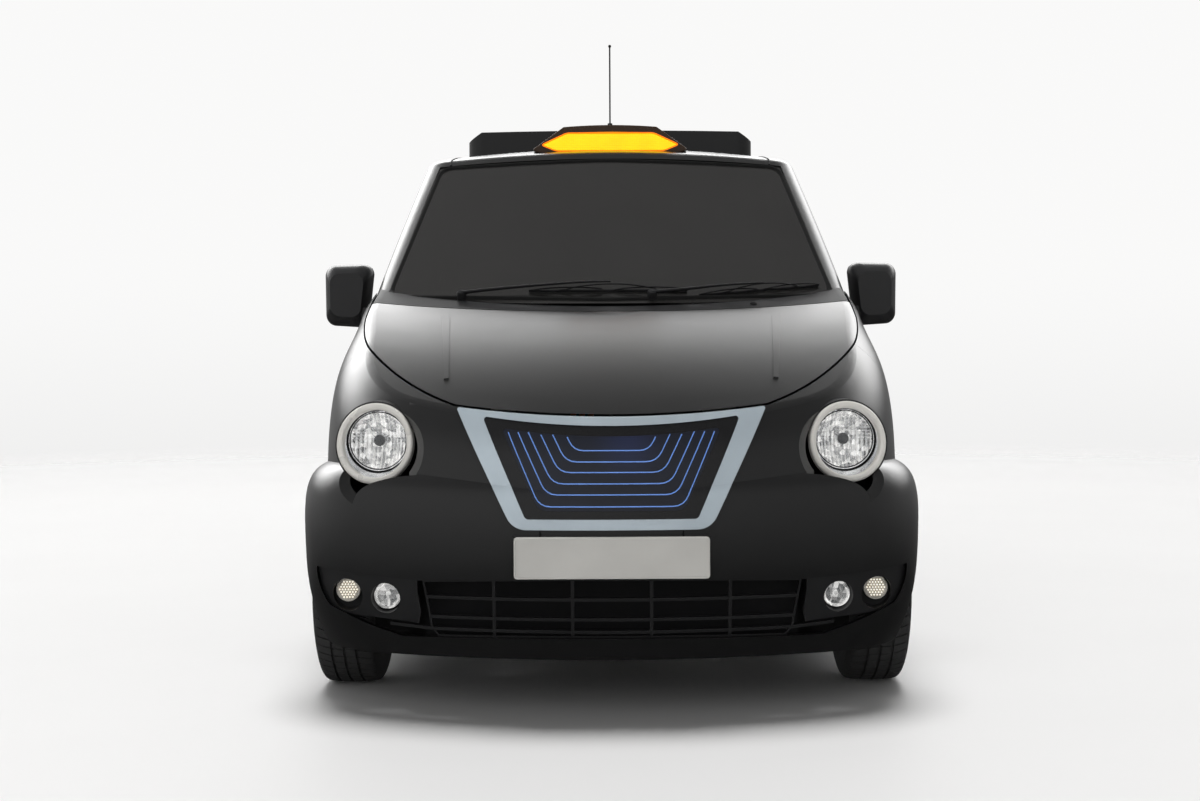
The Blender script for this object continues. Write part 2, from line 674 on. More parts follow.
def tyre_section():
    """(offset across, radius, kind) round half a turn of the tyre's outline; kind 1 is a rib."""
    side = [(0.060, RIM_SEAT + 0.0008, 0), (0.072, RIM_SEAT + 0.0008, 0), (0.0745, 0.199, 0),
            (0.0800, 0.207, 0), (0.0862, 0.216, 0), (0.0872, 0.2185, 0), (0.0866, 0.2195, 0),
            (0.0905, 0.234, 0), (0.0922, 0.249, 0), (0.0916, 0.2495, 0), (0.0918, 0.262, 0),
            (0.0900, 0.275, 0), (0.0893, 0.2752, 0), (0.0868, 0.288, 0), (0.0835, 0.2965, 0),
            (0.0795, 0.3020, 2), (0.0745, 0.3055, 2), (0.0690, 0.3070, 1)]
    across = [(x, crown(x), 1) for x in (0.060, 0.050)]
    for groove in reversed([g for g in GROOVES if g > 0]):
        across += [(groove + 0.0042, crown(groove), 1), (groove + 0.0026, crown(groove) - 0.0066,
                                                         0),
                   (groove - 0.0026, crown(groove) - 0.0066, 0),
                   (groove - 0.0042, crown(groove), 1)]
    across += [(0.024, crown(0.024), 1), (0.014, crown(0.014), 1), (0.0044, TYRE_RADIUS, 1),
               (0.0028, TYRE_RADIUS - 0.0066, 0)]
    half = side + across
    return half + [(-x, r, kind) for x, r, kind in reversed(half)]


def tyre(name, x, distance):
    """Tyre with slanted tread cuts, in place of the plain CAD one."""
    out = 1 if x > 0 else -1
    section = tyre_section()
    stations = []
    for pitch in range(TREAD_PITCHES):
        stations += [(pitch + share, share in (0.0, 0.10)) for share in (-0.03, 0.0, 0.10, 0.13,
                                                                         0.55)]
    rows = []
    for station, cut in stations:
        row = []
        for across, radius, kind in section:
            sweep = 0.45 * (across / 0.07) ** 2 * (1 if across > 0 else -1) if kind else 0
            turn = 2 * pi * (station + sweep * (1 if kind else 0)) / TREAD_PITCHES
            if kind == 1 and cut:
                radius -= 0.0045
            elif kind == 2 and cut:
                radius -= 0.0022
            row.append(Vector((x + out * across, at(distance) + radius * sin(turn),
                               TYRE_RADIUS + radius * cos(turn))))
        rows.append(row)
    rows.append(rows[0])
    Shape().skin(rows, ends=False).make(f"tread_{name}", f"wheel_{name}", "tyre", angle=40,
                                        replaces=(f"tyre_{name}",))


def wheel_details(name, x, distance):
    """Nuts, blank cap and valve of a wheel."""
    out = 1 if x > 0 else -1
    middle = Vector((x, at(distance), TYRE_RADIUS))
    face = middle + Vector((out * RIM_FACE, 0, 0))
    along = Vector((out, 0, 0))
    nuts = Shape()
    for i in range(5):
        turn = 2 * pi * (i + 0.5) / 5
        spot = face + Vector((0, cos(turn), sin(turn))) * 0.0560 - along * 0.018
        nuts.turned(spot, along, [(0.0098, -0.012), (0.0098, 0.009), (0.0082, 0.012),
                                  (0.0004, 0.0125)], 6)
    nuts.make(f"wheel_nuts_{name}", f"wheel_{name}", "steel", MATERIALS["casting"], bevel=0.0006)
    cap = [(0.0315, -0.004), (0.0315, 0.0015), (0.0290, 0.0032), (0.0270, 0.0028), (0.0004, 0.0040)]
    Shape().turned(face, along, cap, 40).make(f"wheel_cap_{name}", f"wheel_{name}", "alloy",
                                              MATERIALS["gloss_black"])
    stem = [(0.0052, 0), (0.0050, 0.016), (0.0034, 0.019), (0.0032, 0.030), (0.0040, 0.0305),
            (0.0040, 0.0390), (0.0030, 0.0402), (0.0003, 0.0404)]
    spot = middle + Vector((out * 0.045, 0, 0.1705))
    lean = Vector((out * 0.75, 0, -0.66))
    Shape().turned(spot, lean, stem, 14).make(f"valve_{name}", f"wheel_{name}", "black_trim",
                                              RUBBER)


def brakes(name, x, distance):
    """Disc on the wheel, and its caliper on what carries the wheel."""
    out = 1 if x > 0 else -1
    front = name.startswith("front")
    middle = Vector((x, at(distance), TYRE_RADIUS))
    along = Vector((out, 0, 0))
    radius = 0.140 if front else 0.132
    disc = [(0.060, 0.000), (radius, 0.000), (radius, 0.007), (radius - 0.004, 0.008),
            (radius - 0.004, 0.012), (radius, 0.013), (radius, 0.020), (0.078, 0.020),
            (0.072, 0.034),
            (0.040, 0.034), (0.040, 0.029), (0.066, 0.029), (0.060, 0.014)]
    form = Shape().ring(middle + along * -0.012, along, disc, 48)
    form.make(f"brake_disc_{name}", f"wheel_{name}", "steel",
              finish(f"disc_{name}", (0.32, 0.31, 0.30), 0.9, 0.32))
    carrier = {"front_left": "knuckle_left", "front_right": "knuckle_right"}.get(name, "root")
    block = []
    for turn in (-0.42, -0.25, 0, 0.25, 0.42):
        inner, outer = (0.088, radius + 0.010) if abs(turn) < 0.4 else (0.096, radius + 0.002)
        row = []
        for r, t in ((inner, -0.032), (outer, -0.034), (outer, 0.024), (inner, 0.022)):
            a = turn + (pi if front else 0)
            row.append(middle + along * (t - 0.002) + Vector((0, r * cos(a), r * sin(a))))
        block.append(row)
    Shape().skin(block).make(f"caliper_{name}", carrier, "casting", bevel=0.003)


# ---------------------------------------------------------------- roof sign, wipers and trim
def wipers():
    """Framed wipers resting on the windscreen, with their pivots on the cowl."""
    tree = skin_of("windscreen", "cowl_panel", "bonnet")
    arms = (((-0.480, 1.192), (-0.380, 1.200), (-0.268, 1.206), (-0.100, 1.214), (0.000, 1.213)),
            ((0.131, 1.188), (0.240, 1.196), (0.360, 1.205), (0.490, 1.210)))
    blades = (((-0.263, 1.207), (0.246, 1.207)), ((0.284, 1.190), (0.690, 1.228)))
    form = Shape()
    for (start, end), arm in zip(blades, arms):
        line = from_front(tree, route([start, end], 0.02), 0.005)
        form.tube(line, 0.0048, 6, flat=0.8)
        count = len(line)
        for first, last, rise in ((0.02, 0.48, 0.012), (0.52, 0.98, 0.012), (0.22, 0.78, 0.026)):
            bridge = []
            for i in range(int(first * count), min(count, int(last * count) + 1)):
                share = (i / count - first) / (last - first)
                lift = rise * sin(pi * min(1, max(0, share))) ** 0.7
                bridge.append(line[i] + Vector((0, -0.7, 0.7)) * (0.003 + lift))
            form.tube(bridge, 0.0036, 6, flat=0.7)
        points = from_front(tree, route(arm, 0.02, 0.05), 0.020)
        rows = len(points)
        points = [p + Vector((0, -0.7, 0.7)) * (0.016 * i / rows) for i, p in enumerate(points)]
        form.tube(points, [0.0105 - 0.0055 * i / (rows - 1) for i in range(rows)], 8, flat=0.6)
        form.turned(points[0] + Vector((0, 0.016, -0.026)), (0, -0.55, 0.83),
                    [(0.016, 0), (0.016, 0.030), (0.013, 0.036), (0.0004, 0.037)], 24)
    form.make("wiper_arms", "root", "black_trim", replaces=("wipers",))
    jets = Shape()
    top = skin_of("cowl_panel")
    for x, distance in ((-0.054, 0.890), (0.457, 0.905)):
        spot = draped(top, [(x, at(distance), 2.0)], (0, 0, -1), -0.001)
        if spot:
            jets.turned(spot[0], (0, -0.3, 0.95), [(0.012, 0), (0.011, 0.005), (0.007, 0.008),
                                                  (0.0004, 0.0085)], 20)
    jets.make("washer_jets", "root", "black_trim")


def from_above(tree, points, lift=0.0):
    """(X, distance) points laid on a surface from above."""
    return draped(tree, [(x, at(d), 3.0) for x, d in points], (0, 0, -1), lift)


def seams():
    """Two short joints of the fascia and the long joints of the roof."""
    for name, nodes, start, end, gap, view, up, width, lift, slot, material in (
            ("nose_seams", ("front_fascia",), (0.192, 0.566), (0.190, 0.505), 0.01, from_front,
             (0, 1, 0), 0.0016, 0.0002, "gloss_black", DARK_SEAM),
            ("roof_joints", ("roof_panel", "body_side_left", "body_side_right"), (0.585, 1.64),
             (0.585, 4.12), 0.04, from_above, (0, 0, 1), 0.0045, 0.0008, "black_trim", RUBBER)):
        tree, form = skin_of(*nodes), Shape()
        for s in (1, -1):
            line = route([(s * start[0], start[1]), (s * end[0], end[1])], gap)
            points = view(tree, line, lift)
            if len(points) > 2:
                form.tube(points, width, 6, flat=0.5, up=up)
        form.make(name, "root", slot, material)


DOOR_WINDOW = ((1.330, 1.120), (1.330, 1.175), (1.860, 1.640), (2.005, 1.645), (2.005, 1.105))
SLIDER_WINDOW = ((2.150, 1.105), (2.150, 1.645), (2.915, 1.645), (2.915, 1.105))
QUARTER_WINDOW = ((3.070, 1.110), (3.070, 1.640), (4.040, 1.625), (4.080, 1.110))
SCREEN_EDGE = ((-0.745, 1.185), (0.0, 1.168), (0.745, 1.185), (0.628, 1.698), (0.0, 1.716),
               (-0.628, 1.698))
HATCH_WINDOW = ((-0.560, 1.130), (0.560, 1.130), (0.520, 1.640), (-0.520, 1.640))


def inset(outline, gap):
    """Outline drawn in towards its middle by about this much."""
    cx = sum(p[0] for p in outline) / len(outline)
    cy = sum(p[1] for p in outline) / len(outline)
    return [(x + gap * (1 if x < cx else -1), y + gap * (1 if y < cy else -1)) for x, y in outline]


def window_seals():
    """Rubber round each pane."""
    for name, window, node, bodies in (
            ("door_seal", DOOR_WINDOW, "front_door_glass_left", DOORS),
            ("slider_seal", SLIDER_WINDOW, "side_glass", "root"),
            ("quarter_seal", QUARTER_WINDOW, "side_glass", "root")):
        points = from_side(skin_of(node), route(inset(window, 0.008), 0.03, 0.035, True), 0.002)
        pair(Shape().tube(points, 0.0085, 8, closed=True, flat=0.6, up=(1, 0, 0)), name, bodies,
             "black_trim", RUBBER)
    points = from_front(skin_of("windscreen"), route(inset(SCREEN_EDGE, 0.010), 0.03, 0.04, True),
                        0.001)
    Shape().tube(points, 0.0085, 8, closed=True, flat=0.5, up=(0, 0.9, 0.3)).make(
        "windscreen_seal", "root", "black_trim", RUBBER)
    points = from_behind(skin_of("tailgate_glass"), route(inset(HATCH_WINDOW, 0.010), 0.03, 0.05,
                                                          True),
                         0.002)
    Shape().tube(points, 0.0085, 8, closed=True, flat=0.6, up=(0, 1, 0)).make(
        "hatch_seal", "tailgate", "black_trim", RUBBER)


def patch(tree, across, up, project, rows=6, columns=10, lift=0.0018):
    """Thin cover over part of a surface, its edges turned down onto it."""
    grid = []
    for j in range(rows + 1):
        row = []
        for i in range(columns + 1):
            edge = i in (0, columns) or j in (0, rows)
            u = across[0] + (across[1] - across[0]) * i / columns
            v = up[0] + (up[1] - up[0]) * j / rows
            found = project(tree, [(u, v)], 0.0002 if edge else lift)
            if not found:
                return None
            row.append(found[0])
        grid.append(row)
    return Shape().skin(grid, closed=False, ends=False)


def tail_details():
    """Lens areas of the tail lamps, the high stop lamp, plate lamps, rear wiper and reflectors."""
    lamps = skin_of("tail_lamps")
    for name, heights, material, slot in (("turn_lens", (1.186, 1.262), AMBER, "red_lens"),
                                          ("reverse_lens", (0.806, 0.880), WHITE_LENS, "red_lens")):
        form = patch(lamps, (0.690, 0.745 if heights[0] > 1 else 0.790), heights, from_behind)
        if form:
            pair(form, name, "root", slot, material)
    ribs = Shape()
    for height in (0.885, 0.985, 1.085, 1.180):
        points = from_behind(lamps, route([(0.680, height), (0.806, height)], 0.012), 0.0006)
        if len(points) > 2:
            ribs.tube(points, 0.0022, 6, flat=0.7, up=(0, 1, 0))
    pair(ribs, "tail_lamp_ribs", "root", "gloss_black")
    gate = skin_of("tailgate", "tailgate_glass")
    form = patch(gate, (-0.170, 0.170), (1.672, 1.694), from_behind, 4, 16, 0.006)
    if form:
        form.make("high_stop_lamp", "tailgate", "red_lens")
    bar = Shape()
    points = from_behind(gate, route([(-0.330, 0.806), (0.330, 0.806)], 0.02), 0.004)
    bar.tube(points, 0.014, 10, flat=0.8, up=(0, 1, 0))
    bar.make("tailgate_handle_bar", "tailgate", "gloss_black")
    lights = Shape()
    for x in (-0.16, 0.16):
        spot = from_behind(gate, [(x, 0.795)], 0.010)[0]
        lights.box((x - 0.026, spot.y - 0.003, 0.7905), (x + 0.026, spot.y + 0.005, 0.7965))
    lights.make("plate_lamps", "tailgate", "clear_lens", WHITE_LENS, bevel=0.001)
    wiper = Shape()
    arm = from_behind(gate, route([(0.0, 1.150), (0.06, 1.20), (0.30, 1.236)], 0.02, 0.03), 0.020)
    wiper.tube(arm, [0.010 - 0.005 * i / (len(arm) - 1) for i in range(len(arm))], 8, flat=0.6,
               up=(0, 1, 0))
    blade = from_behind(gate, route([(0.05, 1.207), (0.40, 1.252)], 0.02), 0.007)
    wiper.tube(blade, 0.0055, 6, up=(0, 1, 0))
    wiper.turned(arm[0] + Vector((0, -0.022, 0)), (0, 1, 0), [(0.019, 0), (0.019, 0.024), (0.015,
                                                                                           0.030),
                                                              (0.0004, 0.031)], 24)
    wiper.make("rear_wiper", "tailgate", "black_trim")
    bumper = skin_of("rear_bumper")
    form = patch(bumper, (0.560, 0.720), (0.395, 0.430), from_behind, 4, 8, 0.003)
    if form:
        pair(form, "rear_reflector", "root", "red_lens")
    step = Shape()
    for height in (0.300, 0.330):
        points = from_behind(bumper, route([(-0.52, height), (0.52, height)], 0.03), 0.0003)
        if len(points) > 2:
            step.tube(points, 0.004, 6, flat=0.6, up=(0, 1, 0))
    step.make("rear_bumper_grooves", "root", "black_trim", DARK_SEAM)


def handle(distance, height, reach, tree):
    """Bar handle on a side door: two feet and a flat grip."""
    ends = [from_side(tree, [(distance + s * reach, height)], 0.0)[0] for s in (-1, 1)]
    form = Shape()
    line = [ends[0] + Vector((-0.004, 0, 0)), ends[0] + Vector((0.020, 0.010, 0)),
            ends[0] + Vector((0.030, 0.030, 0)), ends[1] + Vector((0.030, -0.030, 0)),
            ends[1] + Vector((0.020, -0.010, 0)), ends[1] + Vector((-0.004, 0, 0))]
    form.tube(rounded(line, 0.018, closed=False), 0.0115, 10, flat=0.62, up=(1, 0, 0.0))
    for end in ends:
        form.turned(end - Vector((0.002, 0, 0)), (1, 0, 0), [(0.021, 0), (0.020, 0.003), (0.017,
                                                                                          0.0045),
                                                             (0.0004, 0.005)], 24)
    return form


SIGN_LENS = ((0.162, 1.831), (0.257, 1.785), (0.202, 1.763))


def roof_sign():
    """Warm housing of the sign, with a glowing bead round its blank lens."""
    for name, colour in (("roof_sign", (0.050, 0.024, 0.010)), ("door_mirror_left", (0.022, 0.022,
                                                                                     0.023)),
                         ("door_mirror_right", (0.022, 0.022, 0.023))):
        dress(name, finish(f"{name}_shell", colour, roughness=0.42, coat=0.35))
    right = [(x, z) for x, z in SIGN_LENS]
    loop = right + [(-x, z) for x, z in reversed(right)]
    points = [Vector((x, at(1.7462), z)) for x, z in route(inset(loop, 0.001), 0.02, 0.012, True)]
    Shape().tube(points, 0.0030, 6, closed=True, up=(0, 1, 0)).make(
        "sign_bead", "root", "sign_lens", lit("sign_bead", (1.0, 0.20, 0.0), 0.85))


def door_cards():
    """Arm rest, pull, pocket and speaker on the inner face of a front door."""
    tree = skin_of("front_door_left")

    def inner(distance, height):
        found = onto(tree, (0, at(distance), height), (1, 0, 0), 0.0)
        return found.x if found else 0.72

    card = Shape()
    x = min(inner(1.60, 0.86), inner(1.90, 0.86))
    card.prism(rounded([(x + 0.004, at(1.40), 0.845), (x + 0.004, at(1.96), 0.845),
                        (x + 0.004, at(1.96), 0.890), (x + 0.004, at(1.40), 0.900)], 0.02),
                        (-0.058, 0, 0))
    x = min(inner(1.30, 0.42), inner(1.80, 0.42))
    card.prism(rounded([(x + 0.004, at(1.30), 0.340), (x + 0.004, at(1.86), 0.340),
                        (x + 0.004, at(1.86), 0.500), (x + 0.004, at(1.30), 0.460)], 0.03),
                        (-0.034, 0, 0))
    pair(card, "door_card", DOORS, "cabin_plastic", bevel=0.006)
    pull = Shape()
    x = inner(1.50, 0.98)
    pull.tube(rounded([(x + 0.002, at(1.48), 0.960), (x - 0.040, at(1.50), 0.965),
                       (x - 0.040, at(1.66), 0.985),
                       (x + 0.002, at(1.68), 0.990)], 0.02, closed=False), 0.010, 10)
    x = inner(1.36, 0.60)
    pull.turned((x + 0.002, at(1.36), 0.640), (-1, 0, 0), [(0.078, 0), (0.078, 0.007), (0.070,
                                                                                        0.010),
                                                           (0.066, 0.006), (0.0004, 0.004)], 40)
    pair(pull, "door_pull", DOORS, "gloss_black")


def body_trim():
    """Door handles and locks, slide rails and mirror glass."""
    pair(handle(1.930, 0.985, 0.090, skin_of("front_door_left")), "door_handle",
         DOORS, "body_paint")
    pair(handle(2.190, 0.985, 0.090, skin_of("sliding_doors")), "slider_handle", "root",
         "body_paint")
    # slide rail below the rear side window, and the sill's black strip
    side = skin_of("body_side_left", "sliding_doors")
    rail = from_side(side, route([(3.02, 1.012), (3.92, 1.012)], 0.04), 0.0004)
    pair(Shape().tube(rail, 0.0065, 6, flat=0.4, up=(1, 0, 0)), "slide_rail", "root", "black_trim",
         DARK_SEAM)
    outline = ((-0.083, 0.108), (0.083, 0.104), (0.080, -0.098), (-0.060, -0.107))

    def around(gap, radius):
        return rounded([(MIRROR_X + x, at(MIRROR_BACK), MIRROR_HEIGHT + z)
                        for x, z in inset(outline, gap)], radius)

    pair(Shape().prism(around(0.009, 0.022), (0, 0.0012, 0)), "mirror_glass", DOORS,
         "reflector", MIRROR_GLASS)
    pair(Shape().tube(around(0.005, 0.026), 0.0028, 6, closed=True, up=(0, 1, 0)), "mirror_rim",
         DOORS, "black_trim")
    lock = from_side(skin_of("front_door_left"), [(1.930, 0.930)], -0.001)[0]
    pair(Shape().turned(lock, (1, 0, 0), [(0.011, 0), (0.011, 0.002), (0.009, 0.0028),
                                          (0.0004, 0.003)], 24),
         "door_lock", DOORS, "steel", MATERIALS["alloy"])


# ---------------------------------------------------------------- seats
def cushion_form(low, high, lean=0.0, crown_by=0.012, pinch=0.010):
    """Closed pad in a box: crowned faces, sides that pull in between the corners, leaning back."""
    (x0, y0, z0), (x1, y1, z1) = low, high
    centre = Vector(((x0 + x1) / 2, (y0 + y1) / 2, (z0 + z1) / 2))
    half = Vector(((x1 - x0) / 2, (y1 - y0) / 2, (z1 - z0) / 2))
    data = bmesh.new()
    bmesh.ops.create_cube(data, size=2.0)
    bmesh.ops.subdivide_edges(data, edges=data.edges[:], cuts=11, use_grid_fill=True)
    for vert in data.verts:
        u = vert.co.copy()
        power = 5.0
        length = (abs(u.x) ** power + abs(u.y) ** power + abs(u.z) ** power) ** (1 / power)
        shrink = 1 / max(length, 0.001)
        u = u.lerp(u * shrink, 0.9)
        place = Vector((u.x * (half.x - 0.006), u.y * (half.y - 0.006), u.z * (half.z - 0.006)))
        for i in range(3):
            others = [k for k in range(3) if k != i]
            flatness = (1 - u[others[0]] ** 2) * (1 - u[others[1]] ** 2)
            thin = min(range(3), key=lambda k: half[k])
            place[i] += u[i] * max(0, flatness) * (crown_by if i == thin else -pinch)
        place += centre
        place.y += lean * (place.z - z0) / (z1 - z0)
        vert.co = place
    return data


def pad(name, slot, low, high, lean=0.0, cap=0.014, seams=(), replaces=()):
    """Cushion puffed by a short cloth run, then subdivided once, with piping laid on it."""
    data = cushion_form(low, high, lean)
    mesh = bpy.data.meshes.new(name)
    data.to_mesh(mesh)
    data.free()
    piece = bpy.data.objects.new(name, mesh)
    bpy.context.scene.collection.objects.link(piece)
    puff(piece, cap)
    smooth = piece.modifiers.new("smooth", "SUBSURF")
    smooth.levels = smooth.render_levels = 1
    bake(piece)
    piece.data.materials.append(MATERIALS[slot])
    piece.data.polygons.foreach_set("use_smooth", [True] * len(piece.data.polygons))
    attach(piece, "root")
    if replaces:
        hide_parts(*replaces)
    return piece


def bake(piece):
    """Leaves a piece with the mesh that its modifiers make."""
    bpy.context.view_layer.update()
    found = piece.evaluated_get(bpy.context.evaluated_depsgraph_get())
    made = bpy.data.meshes.new_from_object(found)
    piece.modifiers.clear()
    piece.data = made


def puff(piece, cap):
    """Swells a pad by cloth pressure, no vertex further than the cap."""
    grid = piece.modifiers.new("grid", "REMESH")
    grid.mode, grid.voxel_size = "VOXEL", 0.012
    bake(piece)
    before = [v.co.copy() for v in piece.data.vertices]
    swell = piece.modifiers.new("cloth", "CLOTH")
    swell.settings.use_pressure = True
    swell.settings.uniform_pressure_force = 4.0
    swell.settings.quality = 4
    swell.settings.effector_weights.gravity = 0.0
    swell.settings.tension_stiffness = swell.settings.compression_stiffness = 12
    swell.point_cache.frame_start, swell.point_cache.frame_end = 1, CLOTH_STEPS
    scene = bpy.context.scene
    for count in range(1, CLOTH_STEPS + 1):
        scene.frame_set(count)
    bake(piece)
    for vert, was in zip(piece.data.vertices, before):
        move = vert.co - was
        if move.length > cap:
            vert.co = was + move.normalized() * cap
    scene.frame_set(1)


def surface_line(piece, points, direction, lift=0.001):
    """Points laid on a finished pad along a direction."""
    data = piece.data
    tree = BVHTree.FromPolygons([v.co.copy() for v in data.vertices],
                                [list(f.vertices) for f in data.polygons])
    return draped(tree, points, direction, lift)


def piping(name, lines):
    """Thin cords along the channels of finished pads."""
    form = Shape()
    for piece, points, direction in lines:
        line = surface_line(piece, points, direction, -0.0006)
        if len(line) > 3:
            form.tube(line, 0.0034, 6)
    form.make(name, "root", "seat_cloth", finish(name, (0.02, 0.02, 0.024), roughness=0.6))


def seat(name, x, front, width, depth, foot, low, rests, places, node):
    """Cushion, leaning back and headrests on a moulded base, in the room of the CAD seat."""
    y, back_y, half = at(front), at(front + depth), width / 2
    cushion = pad(f"{name}_cushion", "seat_cloth", (x - half + 0.010, y + 0.010, low + 0.008),
                  (x + half - 0.010, back_y - 0.012, low + 0.124), replaces=(node,))
    back = pad(f"{name}_back", "seat_cloth", (x - half + 0.014, back_y + 0.006, low + 0.132),
               (x + half - 0.014, back_y + 0.100, low + 0.728), lean=0.140)
    head_low = low + 0.760
    for i, place in enumerate(rests):
        pad(f"{name}_headrest_{i}", "seat_cloth",
            (place - 0.122, back_y + 0.178, head_low + 0.028),
            (place + 0.122, back_y + 0.262, head_low + 0.152))
    stalks = Shape()
    for place in rests:
        for offset in (-0.045, 0.045):
            top = (place + offset, back_y + 0.222, head_low + 0.045)
            stalks.tube([(place + offset, back_y + 0.182, low + 0.690), top], 0.0055, 10)
    stalks.make(f"{name}_stalks", "root", "steel", MATERIALS["alloy"])
    base = Shape()
    foot_half = half - 0.040
    outline = rounded([(x - foot_half, y + 0.045, foot), (x + foot_half, y + 0.045, foot),
                       (x + foot_half, back_y - 0.020, foot),
                       (x - foot_half, back_y - 0.020, foot)], 0.03)
    base.skin([outline, [p + Vector((0, 0, (low - foot) * 0.3)) for p in outline],
               [p + Vector(((p.x - x) * 0.03, 0, low - foot + 0.006)) for p in outline]])
    base.make(f"{name}_base", "root", "cabin_plastic", bevel=0.004)
    lines = []
    for place in places:
        lines.append((cushion, [(place, y + 0.03 + depth * 0.92 * i / 24, 2) for i in range(25)],
                      (0, 0, -1)))
        lines.append((back, [(place, y, low + 0.17 + 0.53 * i / 24) for i in range(25)], (0, 1, 0)))
    reach = half - 0.03
    lines.append((cushion, [(x - reach + reach * i / 20, y + 0.20, 2) for i in range(41)],
                  (0, 0, -1)))
    lines.append((back, [(x - reach + reach * i / 20, y, low + 0.50) for i in range(41)],
                  (0, 1, 0)))
    piping(f"{name}_piping", lines)


# ---------------------------------------------------------------- cabin
def cabin():
    """Gauges, screen, vents, inner mirror, pedals and belt."""
    dash = skin_of("dashboard")
    form = Shape()
    arch = []
    for i in range(15):
        turn = pi * i / 14
        arch.append((0.175 * cos(turn), 0.085 * sin(turn)))
    rows = []
    for distance, swell in ((1.330, 0.75), (1.400, 0.95), (1.490, 1.0), (1.490, 0.93),
                            (1.400, 0.88)):
        rows.append([Vector((GAUGE_X + x * swell, at(distance), GAUGE_HEIGHT + z * swell))
                     for x, z in arch])
    form.skin(rows, closed=False, ends=False)
    form.make("gauge_hood", "root", "cabin_plastic")
    dials = Shape()
    for x, r in ((-0.445, 0.045), (-0.295, 0.045), (-0.370, 0.026)):
        dials.turned((x, at(1.452), 1.052), (0, 1, 0.25), [(r, 0), (r, 0.006), (r - 0.003, 0.008),
                                                           (r - 0.004, 0.005), (0.0004, 0.005)], 32)
    dials.make("gauges", "root", "gloss_black")
    screen = Shape().plate((0.0, at(1.452), 1.010), (-1, 0, 0), (0, -0.2, 1), 0.115, 0.068, 0.016,
                           0.008)
    screen.make("centre_screen", "root", "gloss_black")
    vents = Shape()
    for x in (-0.610, -0.165, 0.165, 0.610):
        for i in range(5):
            z = 0.905 + 0.014 * i
            spot = draped(dash, [(x, REAR, z)], (0, -1, 0), 0.002)
            if spot:
                vents.box((x - 0.050, spot[0].y - 0.004, z - 0.0022),
                          (x + 0.050, spot[0].y + 0.004, z + 0.0022))
    vents.make("vent_louvres", "root", "cabin_plastic", MATERIALS["gloss_black"], bevel=0.0006)
    mirror = Shape().plate((0, at(1.555), 1.560), (-1, 0, 0), (0, 0.15, 1), 0.115, 0.034, 0.018,
                           0.016)
    mirror.tube([(0, at(1.552), 1.575), (0, at(1.530), 1.615)], 0.007, 10)
    mirror.make("inner_mirror", "root", "cabin_plastic", bevel=0.002)
    pedals = Shape()
    for x, w in ((-0.300, 0.026), (-0.410, 0.042)):
        pedals.plate((x, at(1.330), 0.440), (-1, 0, 0), (0, -0.55, 1), w, 0.040, 0.010, 0.006)
        pedals.tube([(x, at(1.330), 0.455), (x, at(1.275), 0.560), (x, at(1.270), 0.690)], 0.007, 8)
    pedals.make("pedals", "root", "steel")
    x, y, low, height = BELT_X, at(BELT_DISTANCE), BELT_FOOT, BELT_TOP
    belt = [(x + 0.025, y, low + (height - low) * i / 11) for i in range(12)]
    strap = Shape().tube(belt, 0.023, 8, flat=0.05, up=(1, 0, 0))
    strap.box((x + 0.012, y - 0.03, height - 0.02), (x + 0.034, y + 0.03, height + 0.03))
    strap.make("driver_belt", "root", "seat_cloth", RUBBER)


